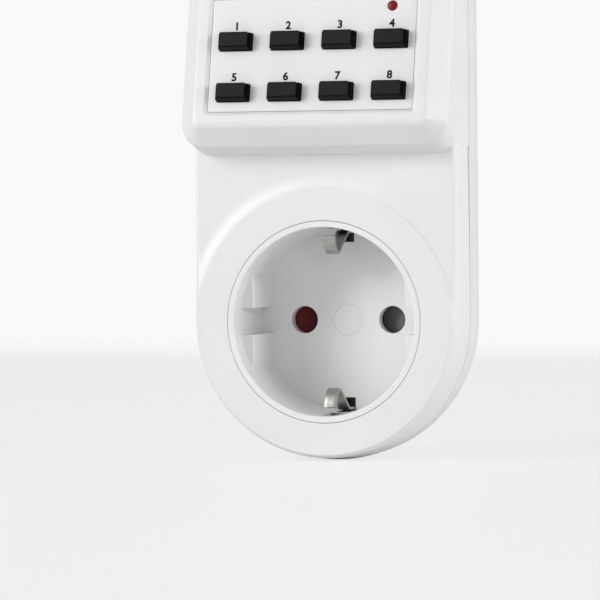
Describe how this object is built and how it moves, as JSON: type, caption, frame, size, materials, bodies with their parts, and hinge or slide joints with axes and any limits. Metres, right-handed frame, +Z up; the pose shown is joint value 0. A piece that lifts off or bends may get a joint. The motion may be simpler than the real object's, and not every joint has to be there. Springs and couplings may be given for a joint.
{
  "type": "plug in timer switch",
  "caption": "Digital plug in timer switch for an earthed round wall outlet, with an outlet on its front, a tilted block with keys, a display window and a status light.",
  "frame": {"origin": "centre of the face that carries the two plug pins", "axes": "+Y into the wall along the plug pins, +Z up, +X to the right seen from the front; the outlet, keys and display face -Y"},
  "size_m": [0.057, 0.0737, 0.125],
  "materials": {
    "white_plastic": "moulded, faint grain",
    "insert_plastic": "moulded, smooth",
    "plate_plastic": "fine satin film",
    "window_clear": "clear, polished",
    "frame_plastic": "moulded",
    "display_grey": "grey green liquid crystal",
    "grey_rubber": "soft, matt",
    "key_black": "fine texture",
    "light_red": "tinted, polished",
    "board_green": "laminate with resist",
    "black_epoxy": "moulded epoxy",
    "can_silver": "drawn can",
    "spring_brass": "stamped strip",
    "link_cream": "moulded",
    "relay_blue": "moulded",
    "coil_copper": "enamelled wire",
    "plated_steel": "nickel plated strip",
    "capacitor_yellow": "moulded box",
    "can_dark": "sleeved can",
    "disc_blue": "dipped coating",
    "fuse_body": "glass tube with metal caps",
    "shutter_red": "moulded",
    "shutter_grey": "moulded",
    "spring_steel": "drawn wire",
    "carrier_tan": "moulded heat resistant",
    "pin_nickel": "nickel plated brass",
    "screw_steel": "zinc plated"
  },
  "bodies": {
    "housing": {"front_housing": "white_plastic", "rear_housing": "white_plastic", "plug_body": "white_plastic", "face_plate": "plate_plastic", "display_window": "window_clear", "display_frame": "frame_plastic", "display_cell": "display_grey", "display_contacts": "grey_rubber", "status_light": "light_red", "key_mat": "grey_rubber", "control_board": "board_green", "controller_chip": "black_epoxy", "clock_crystal": "can_silver", "backup_battery": "can_silver", "battery_clip": "spring_brass", "board_link": "link_cream", "power_board": "board_green", "relay_case": "relay_blue", "relay_base": "frame_plastic", "relay_coil": "coil_copper", "relay_yoke": "plated_steel", "relay_contacts": "spring_brass", "mains_capacitor": "capacitor_yellow", "smoothing_capacitors": "can_dark", "surge_disc": "disc_blue", "fuse": "fuse_body", "rectifier_diodes": "black_epoxy", "outlet_insert": "insert_plastic", "centre_cap": "insert_plastic", "centre_screw": "screw_steel", "insert_screws": "screw_steel", "left_shutter_spring": "spring_steel", "right_shutter_spring": "spring_steel", "upper_earth_link": "plated_steel", "lower_earth_link": "plated_steel", "earth_strap": "spring_brass", "contact_carrier": "carrier_tan", "live_contact": "spring_brass", "neutral_contact": "spring_brass", "live_strip": "spring_brass", "neutral_strip": "spring_brass", "switched_strip": "spring_brass", "live_pin": "pin_nickel", "neutral_pin": "pin_nickel", "housing_screws": "screw_steel", "board_screws": "screw_steel"},
    "hour_key": {"hour_key": "key_black"},
    "minute_key": {"minute_key": "key_black"},
    "day_key": {"day_key": "key_black"},
    "clock_key": {"clock_key": "key_black"},
    "program_key": {"program_key": "key_black"},
    "season_key": {"season_key": "key_black"},
    "mode_key": {"mode_key": "key_black"},
    "reset_key": {"reset_key": "key_black"},
    "left_shutter": {"left_shutter": "shutter_red"},
    "right_shutter": {"right_shutter": "shutter_grey"},
    "upper_clip": {"upper_earth_clip": "plated_steel"},
    "lower_clip": {"lower_earth_clip": "plated_steel"},
    "armature": {"relay_armature": "plated_steel"}
  },
  "joints": [
    {"name": "hour_key_press", "type": "slide", "parent": "housing", "child": "hour_key", "axis": [0, 0.9793, -0.2023], "range_m": [0, 0.001], "stiffness_N_per_m": 900, "springref_m": -0.0005, "deforming": ["key_mat"]},
    {"name": "minute_key_press", "type": "slide", "parent": "housing", "child": "minute_key", "axis": [0, 0.9793, -0.2023], "range_m": [0, 0.001], "stiffness_N_per_m": 900, "springref_m": -0.0005, "deforming": ["key_mat"]},
    {"name": "day_key_press", "type": "slide", "parent": "housing", "child": "day_key", "axis": [0, 0.9793, -0.2023], "range_m": [0, 0.001], "stiffness_N_per_m": 900, "springref_m": -0.0005, "deforming": ["key_mat"]},
    {"name": "clock_key_press", "type": "slide", "parent": "housing", "child": "clock_key", "axis": [0, 0.9793, -0.2023], "range_m": [0, 0.001], "stiffness_N_per_m": 900, "springref_m": -0.0005, "deforming": ["key_mat"]},
    {"name": "program_key_press", "type": "slide", "parent": "housing", "child": "program_key", "axis": [0, 0.9793, -0.2023], "range_m": [0, 0.001], "stiffness_N_per_m": 900, "springref_m": -0.0005, "deforming": ["key_mat"]},
    {"name": "season_key_press", "type": "slide", "parent": "housing", "child": "season_key", "axis": [0, 0.9793, -0.2023], "range_m": [0, 0.001], "stiffness_N_per_m": 900, "springref_m": -0.0005, "deforming": ["key_mat"]},
    {"name": "mode_key_press", "type": "slide", "parent": "housing", "child": "mode_key", "axis": [0, 0.9793, -0.2023], "range_m": [0, 0.001], "stiffness_N_per_m": 900, "springref_m": -0.0005, "deforming": ["key_mat"]},
    {"name": "reset_key_press", "type": "slide", "parent": "housing", "child": "reset_key", "axis": [0, 0.9793, -0.2023], "range_m": [0, 0.001], "stiffness_N_per_m": 900, "springref_m": -0.0005, "deforming": ["key_mat"]},
    {"name": "left_shutter_slide", "type": "slide", "parent": "housing", "child": "left_shutter", "axis": [-1, 0, 0], "range_m": [0, 0.0054], "stiffness_N_per_m": 180, "springref_m": -0.001, "deforming": ["left_shutter_spring"]},
    {"name": "right_shutter_slide", "type": "slide", "parent": "housing", "child": "right_shutter", "axis": [1, 0, 0], "range_m": [0, 0.0054], "stiffness_N_per_m": 180, "springref_m": -0.001, "deforming": ["right_shutter_spring"]},
    {"name": "upper_clip_flex", "type": "hinge", "parent": "housing", "child": "upper_clip", "pos_m": [0, -0.0254, 0.0183], "axis": [-1, 0, 0], "range_deg": [0, 6.5], "stiffness_Nm_per_rad": 0.5},
    {"name": "lower_clip_flex", "type": "hinge", "parent": "housing", "child": "lower_clip", "pos_m": [0, -0.0254, -0.0183], "axis": [1, 0, 0], "range_deg": [0, 6.5], "stiffness_Nm_per_rad": 0.5},
    {"name": "relay_armature_swing", "type": "hinge", "parent": "housing", "child": "armature", "pos_m": [0.0085, -0.031, 0.0563], "axis": [-1, 0, 0], "range_deg": [0, 4], "stiffness_Nm_per_rad": 0.02, "springref_deg": -1.15}
  ],
  "couplings": [
    {"joint": "right_shutter_slide", "follows": "left_shutter_slide", "ratio": 1}
  ]
}
